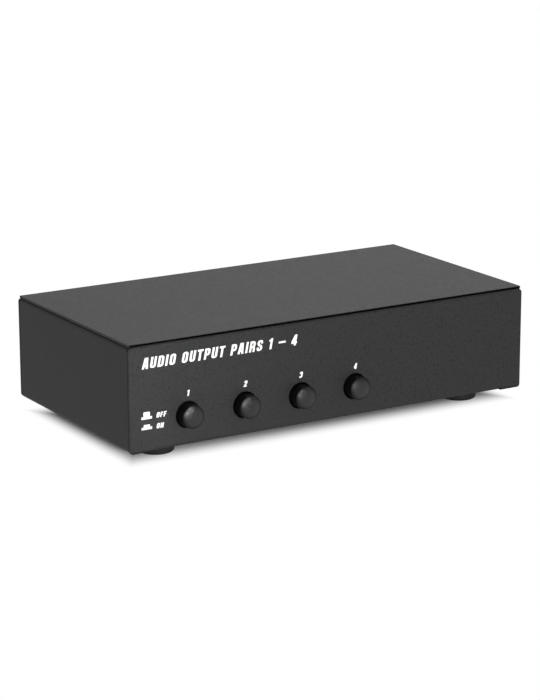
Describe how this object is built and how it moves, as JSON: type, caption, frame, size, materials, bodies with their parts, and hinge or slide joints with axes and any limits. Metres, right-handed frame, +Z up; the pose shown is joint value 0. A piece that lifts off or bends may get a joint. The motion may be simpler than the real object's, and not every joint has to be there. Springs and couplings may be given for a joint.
{
  "type": "speaker selector switch",
  "caption": "Low black sheet-steel speaker selector box with latching round push buttons on the front and sprung wire terminals on the back.",
  "frame": {"origin": "on the surface that the feet stand on, under the middle of the whole outline", "axes": "+X to the right as seen from the front, +Y from the buttons to the terminals, +Z up"},
  "size_m": [0.205, 0.119, 0.054],
  "materials": {
    "case_coat": "fine-textured powder coat, satin",
    "lid_coat": "fine-textured powder coat, satin",
    "black_screws": "black zinc",
    "bright_screws": "zinc plated",
    "board_laminate": "solder mask over glass laminate",
    "brass": "plain",
    "button_black": "moulded ABS, semi-gloss",
    "plunger_white": "moulded nylon",
    "switch_black": "moulded, satin",
    "spring_steel": "drawn wire",
    "terminal_black": "moulded ABS",
    "lever_red": "moulded ABS",
    "lever_black": "moulded ABS",
    "lead_red": "PVC insulation",
    "foot_rubber": "moulded, matt"
  },
  "bodies": {
    "case": {"chassis": "case_coat", "lid": "lid_coat", "lid_screws": "black_screws", "switch_board": "board_laminate", "standoffs": "brass", "board_screws": "bright_screws", "switch_housing_1": "switch_black", "switch_housing_2": "switch_black", "switch_housing_3": "switch_black", "switch_housing_4": "switch_black", "switch_spring_1": "spring_steel", "switch_spring_2": "spring_steel", "switch_spring_3": "spring_steel", "switch_spring_4": "spring_steel", "terminal_block_amp": "terminal_black", "terminal_block_spk1": "terminal_black", "terminal_block_spk2": "terminal_black", "terminal_block_spk3": "terminal_black", "terminal_block_spk4": "terminal_black", "contacts_amp": "brass", "contacts_spk1": "brass", "contacts_spk2": "brass", "contacts_spk3": "brass", "contacts_spk4": "brass", "block_screws": "black_screws", "hookup_leads": "lead_red", "foot_front_left": "foot_rubber", "foot_front_right": "foot_rubber", "foot_rear_left": "foot_rubber", "foot_rear_right": "foot_rubber", "foot_screws": "bright_screws"},
    "button_1": {"button_cap_1": "button_black", "plunger_1": "plunger_white"},
    "button_2": {"button_cap_2": "button_black", "plunger_2": "plunger_white"},
    "button_3": {"button_cap_3": "button_black", "plunger_3": "plunger_white"},
    "button_4": {"button_cap_4": "button_black", "plunger_4": "plunger_white"},
    "lever_amp_left_pos": {"lever_amp_left_pos": "lever_red"},
    "lever_amp_left_neg": {"lever_amp_left_neg": "lever_black"},
    "lever_amp_right_pos": {"lever_amp_right_pos": "lever_red"},
    "lever_amp_right_neg": {"lever_amp_right_neg": "lever_black"},
    "lever_spk1_left_pos": {"lever_spk1_left_pos": "lever_red"},
    "lever_spk1_left_neg": {"lever_spk1_left_neg": "lever_black"},
    "lever_spk1_right_pos": {"lever_spk1_right_pos": "lever_red"},
    "lever_spk1_right_neg": {"lever_spk1_right_neg": "lever_black"},
    "lever_spk2_left_pos": {"lever_spk2_left_pos": "lever_red"},
    "lever_spk2_left_neg": {"lever_spk2_left_neg": "lever_black"},
    "lever_spk2_right_pos": {"lever_spk2_right_pos": "lever_red"},
    "lever_spk2_right_neg": {"lever_spk2_right_neg": "lever_black"},
    "lever_spk3_left_pos": {"lever_spk3_left_pos": "lever_red"},
    "lever_spk3_left_neg": {"lever_spk3_left_neg": "lever_black"},
    "lever_spk3_right_pos": {"lever_spk3_right_pos": "lever_red"},
    "lever_spk3_right_neg": {"lever_spk3_right_neg": "lever_black"},
    "lever_spk4_left_pos": {"lever_spk4_left_pos": "lever_red"},
    "lever_spk4_left_neg": {"lever_spk4_left_neg": "lever_black"},
    "lever_spk4_right_pos": {"lever_spk4_right_pos": "lever_red"},
    "lever_spk4_right_neg": {"lever_spk4_right_neg": "lever_black"}
  },
  "joints": [
    {"name": "button_1_press", "type": "slide", "parent": "case", "child": "button_1", "axis": [0, 1, 0], "range_m": [0, 0.004], "deforming": ["switch_spring_1"]},
    {"name": "button_2_press", "type": "slide", "parent": "case", "child": "button_2", "axis": [0, 1, 0], "range_m": [0, 0.004], "deforming": ["switch_spring_2"]},
    {"name": "button_3_press", "type": "slide", "parent": "case", "child": "button_3", "axis": [0, 1, 0], "range_m": [0, 0.004], "deforming": ["switch_spring_3"]},
    {"name": "button_4_press", "type": "slide", "parent": "case", "child": "button_4", "axis": [0, 1, 0], "range_m": [0, 0.004], "deforming": ["switch_spring_4"]},
    {"name": "lever_amp_left_pos_press", "type": "hinge", "parent": "case", "child": "lever_amp_left_pos", "pos_m": [0.0819, 0.05205, 0.037], "axis": [-1, 0, 0], "range_deg": [0, 15], "stiffness_Nm_per_rad": 0.05, "springref_deg": -5.73},
    {"name": "lever_amp_left_neg_press", "type": "hinge", "parent": "case", "child": "lever_amp_left_neg", "pos_m": [0.0701, 0.05205, 0.037], "axis": [-1, 0, 0], "range_deg": [0, 15], "stiffness_Nm_per_rad": 0.05, "springref_deg": -5.73},
    {"name": "lever_amp_right_pos_press", "type": "hinge", "parent": "case", "child": "lever_amp_right_pos", "pos_m": [0.0819, 0.05205, 0.0224], "axis": [-1, 0, 0], "range_deg": [0, 15], "stiffness_Nm_per_rad": 0.05, "springref_deg": -5.73},
    {"name": "lever_amp_right_neg_press", "type": "hinge", "parent": "case", "child": "lever_amp_right_neg", "pos_m": [0.0701, 0.05205, 0.0224], "axis": [-1, 0, 0], "range_deg": [0, 15], "stiffness_Nm_per_rad": 0.05, "springref_deg": -5.73},
    {"name": "lever_spk1_left_pos_press", "type": "hinge", "parent": "case", "child": "lever_spk1_left_pos", "pos_m": [0.0439, 0.05205, 0.037], "axis": [-1, 0, 0], "range_deg": [0, 15], "stiffness_Nm_per_rad": 0.05, "springref_deg": -5.73},
    {"name": "lever_spk1_left_neg_press", "type": "hinge", "parent": "case", "child": "lever_spk1_left_neg", "pos_m": [0.0321, 0.05205, 0.037], "axis": [-1, 0, 0], "range_deg": [0, 15], "stiffness_Nm_per_rad": 0.05, "springref_deg": -5.73},
    {"name": "lever_spk1_right_pos_press", "type": "hinge", "parent": "case", "child": "lever_spk1_right_pos", "pos_m": [0.0439, 0.05205, 0.0224], "axis": [-1, 0, 0], "range_deg": [0, 15], "stiffness_Nm_per_rad": 0.05, "springref_deg": -5.73},
    {"name": "lever_spk1_right_neg_press", "type": "hinge", "parent": "case", "child": "lever_spk1_right_neg", "pos_m": [0.0321, 0.05205, 0.0224], "axis": [-1, 0, 0], "range_deg": [0, 15], "stiffness_Nm_per_rad": 0.05, "springref_deg": -5.73},
    {"name": "lever_spk2_left_pos_press", "type": "hinge", "parent": "case", "child": "lever_spk2_left_pos", "pos_m": [0.0059, 0.05205, 0.037], "axis": [-1, 0, 0], "range_deg": [0, 15], "stiffness_Nm_per_rad": 0.05, "springref_deg": -5.73},
    {"name": "lever_spk2_left_neg_press", "type": "hinge", "parent": "case", "child": "lever_spk2_left_neg", "pos_m": [-0.0059, 0.05205, 0.037], "axis": [-1, 0, 0], "range_deg": [0, 15], "stiffness_Nm_per_rad": 0.05, "springref_deg": -5.73},
    {"name": "lever_spk2_right_pos_press", "type": "hinge", "parent": "case", "child": "lever_spk2_right_pos", "pos_m": [0.0059, 0.05205, 0.0224], "axis": [-1, 0, 0], "range_deg": [0, 15], "stiffness_Nm_per_rad": 0.05, "springref_deg": -5.73},
    {"name": "lever_spk2_right_neg_press", "type": "hinge", "parent": "case", "child": "lever_spk2_right_neg", "pos_m": [-0.0059, 0.05205, 0.0224], "axis": [-1, 0, 0], "range_deg": [0, 15], "stiffness_Nm_per_rad": 0.05, "springref_deg": -5.73},
    {"name": "lever_spk3_left_pos_press", "type": "hinge", "parent": "case", "child": "lever_spk3_left_pos", "pos_m": [-0.0321, 0.05205, 0.037], "axis": [-1, 0, 0], "range_deg": [0, 15], "stiffness_Nm_per_rad": 0.05, "springref_deg": -5.73},
    {"name": "lever_spk3_left_neg_press", "type": "hinge", "parent": "case", "child": "lever_spk3_left_neg", "pos_m": [-0.0439, 0.05205, 0.037], "axis": [-1, 0, 0], "range_deg": [0, 15], "stiffness_Nm_per_rad": 0.05, "springref_deg": -5.73},
    {"name": "lever_spk3_right_pos_press", "type": "hinge", "parent": "case", "child": "lever_spk3_right_pos", "pos_m": [-0.0321, 0.05205, 0.0224], "axis": [-1, 0, 0], "range_deg": [0, 15], "stiffness_Nm_per_rad": 0.05, "springref_deg": -5.73},
    {"name": "lever_spk3_right_neg_press", "type": "hinge", "parent": "case", "child": "lever_spk3_right_neg", "pos_m": [-0.0439, 0.05205, 0.0224], "axis": [-1, 0, 0], "range_deg": [0, 15], "stiffness_Nm_per_rad": 0.05, "springref_deg": -5.73},
    {"name": "lever_spk4_left_pos_press", "type": "hinge", "parent": "case", "child": "lever_spk4_left_pos", "pos_m": [-0.0701, 0.05205, 0.037], "axis": [-1, 0, 0], "range_deg": [0, 15], "stiffness_Nm_per_rad": 0.05, "springref_deg": -5.73},
    {"name": "lever_spk4_left_neg_press", "type": "hinge", "parent": "case", "child": "lever_spk4_left_neg", "pos_m": [-0.0819, 0.05205, 0.037], "axis": [-1, 0, 0], "range_deg": [0, 15], "stiffness_Nm_per_rad": 0.05, "springref_deg": -5.73},
    {"name": "lever_spk4_right_pos_press", "type": "hinge", "parent": "case", "child": "lever_spk4_right_pos", "pos_m": [-0.0701, 0.05205, 0.0224], "axis": [-1, 0, 0], "range_deg": [0, 15], "stiffness_Nm_per_rad": 0.05, "springref_deg": -5.73},
    {"name": "lever_spk4_right_neg_press", "type": "hinge", "parent": "case", "child": "lever_spk4_right_neg", "pos_m": [-0.0819, 0.05205, 0.0224], "axis": [-1, 0, 0], "range_deg": [0, 15], "stiffness_Nm_per_rad": 0.05, "springref_deg": -5.73}
  ]
}
